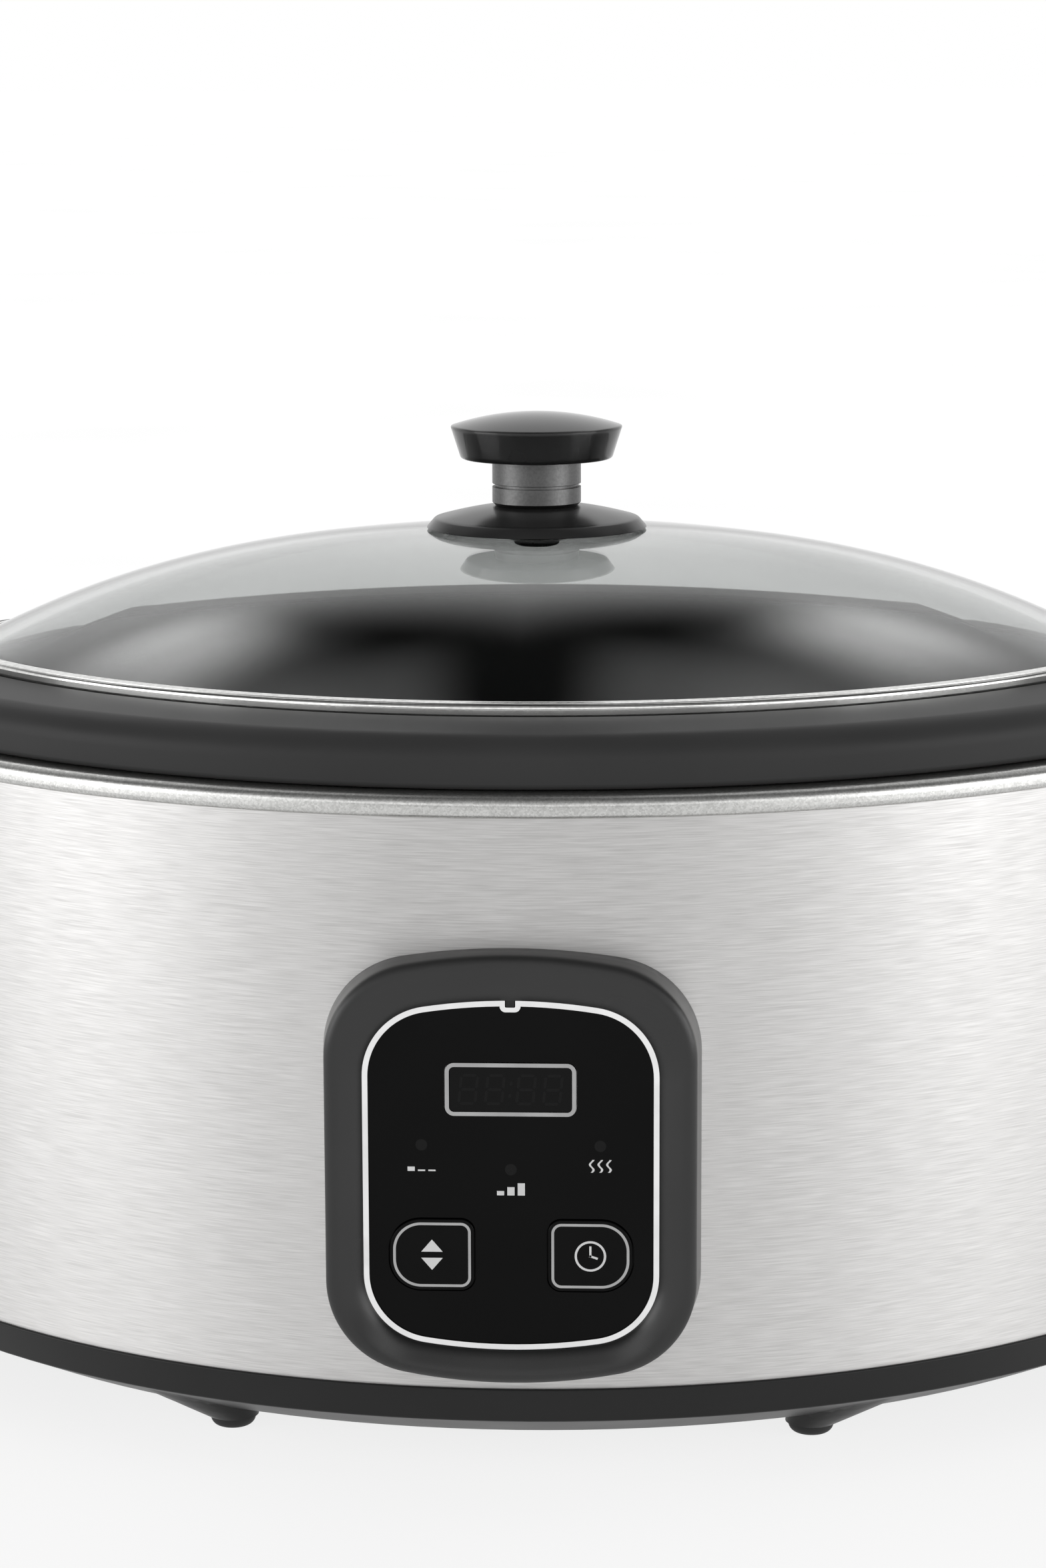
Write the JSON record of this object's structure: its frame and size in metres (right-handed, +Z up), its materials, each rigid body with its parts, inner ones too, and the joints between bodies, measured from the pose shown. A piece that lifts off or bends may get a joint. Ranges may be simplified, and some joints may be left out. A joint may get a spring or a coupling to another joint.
{
  "type": "slow cooker",
  "caption": "Countertop slow cooker: oval brushed steel body, lift-out black stoneware crock, domed glass lid with knob, side handles and a front control panel with display and push keys.",
  "frame": {"origin": "middle of the oval body on the table plane under the feet", "axes": "+Z up, +X along the long axis to the right as the panel is faced, -Y out of the control panel"},
  "size_m": [0.412, 0.2746, 0.2295],
  "materials": {
    "base_black": "satin moulded black",
    "handle_black": "satin moulded black",
    "foot_rubber": "soft matt rubber",
    "wrap_steel": "brushed along the body",
    "well_metal": "fine spangle",
    "crock_glaze": "gloss black glaze",
    "lid_clear": "clear",
    "lid_metal": "polished rolled edge",
    "knob_black": "gloss black",
    "knob_satin": "satin",
    "gasket_grey": "translucent silicone",
    "screw_metal": "plated",
    "bezel_black": "fine satin moulded black",
    "fascia_black": "gloss black",
    "trim_silver": "bright silver",
    "lens_dark": "smoked gloss",
    "key_black": "gloss black",
    "board_green": "solder mask",
    "module_dark": "moulded",
    "lamp_clear": "clear lamp",
    "heater_wrap": "foil and mica",
    "block_white": "moulded"
  },
  "bodies": {
    "housing": {"base_pan": "base_black", "outer_wrap": "wrap_steel", "heating_well": "well_metal", "control_bezel": "bezel_black", "border_trim": "trim_silver", "control_fascia": "fascia_black", "display_trim": "trim_silver", "display_lens": "lens_dark", "control_board": "board_green", "board_screws": "screw_metal", "bezel_screws": "screw_metal", "display_module": "module_dark", "indicator_leds": "lamp_clear", "tact_switches": "module_dark", "handle_screws": "screw_metal", "tie_posts": "screw_metal", "base_screws": "screw_metal", "heater_band": "heater_wrap", "temperature_sensor": "screw_metal", "thermal_fuse": "block_white", "power_board": "board_green", "power_board_screws": "screw_metal", "relay": "module_dark", "terminal_block": "block_white", "cord_gland": "base_black", "foot_front_right": "foot_rubber", "foot_front_left": "foot_rubber", "foot_back_right": "foot_rubber", "foot_back_left": "foot_rubber", "handle_right": "handle_black", "handle_left": "handle_black"},
    "crock": {"crock": "crock_glaze"},
    "lid": {"lid_glass": "lid_clear", "lid_rim": "lid_metal", "knob_gasket": "gasket_grey", "knob_skirt": "knob_black", "knob_collar": "knob_satin", "knob_sleeve": "knob_satin", "knob_cap": "knob_black", "knob_washer": "screw_metal", "knob_screw": "screw_metal"},
    "select_key": {"key_select": "key_black", "key_select_trim": "trim_silver"},
    "time_key": {"key_time": "key_black", "key_time_trim": "trim_silver"}
  },
  "joints": [
    {"name": "crock_lift", "type": "slide", "parent": "housing", "child": "crock", "axis": [0, 0, 1], "range_m": [0, 0.16]},
    {"name": "lid_lift", "type": "slide", "parent": "crock", "child": "lid", "axis": [0, 0, 1], "range_m": [0, 0.12]},
    {"name": "select_press", "type": "slide", "parent": "housing", "child": "select_key", "axis": [0, 1, 0], "range_m": [0, 0.0006], "stiffness_N_per_m": 2000},
    {"name": "time_press", "type": "slide", "parent": "housing", "child": "time_key", "axis": [0, 1, 0], "range_m": [0, 0.0006], "stiffness_N_per_m": 2000}
  ]
}
